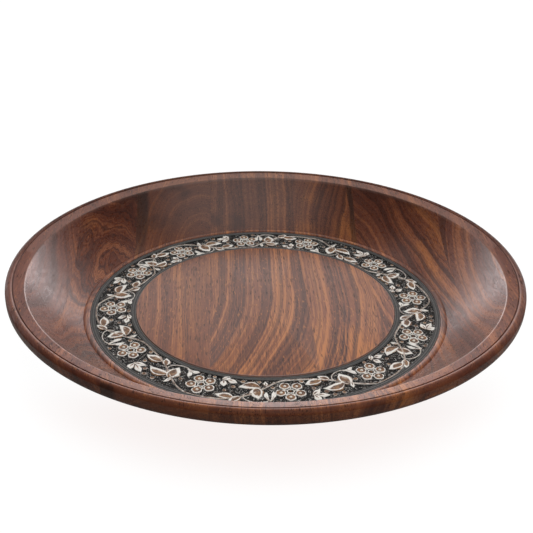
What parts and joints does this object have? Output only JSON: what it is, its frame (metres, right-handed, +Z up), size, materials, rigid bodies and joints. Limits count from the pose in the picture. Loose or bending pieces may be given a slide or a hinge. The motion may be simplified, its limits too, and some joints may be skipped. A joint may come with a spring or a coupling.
{
  "type": "wooden bowl",
  "caption": "Wide shallow round wooden bowl with sloping walls, a grooved rim, a flat floor and a carved floral ring let into the floor; stands on a low turned foot.",
  "frame": {"origin": "middle of the foot's resting plane, on the axis the bowl was turned about", "axes": "+Z up along the turning axis, Y along the grain and the glue lines, X across the boards"},
  "size_m": [0.35, 0.35, 0.05],
  "materials": {
    "dark_wood": "satin lacquer over dark reddish-brown wood with black pores",
    "blackened_carving": "blackened stippled ground with cream-rubbed raised carving, satin"
  },
  "bodies": {
    "root": {"far_left_board": "dark_wood", "left_board": "dark_wood", "left_centre_board": "dark_wood", "centre_board": "dark_wood", "right_centre_board": "dark_wood", "right_board": "dark_wood", "far_right_board": "dark_wood", "carved_band": "blackened_carving"}
  },
  "joints": []
}
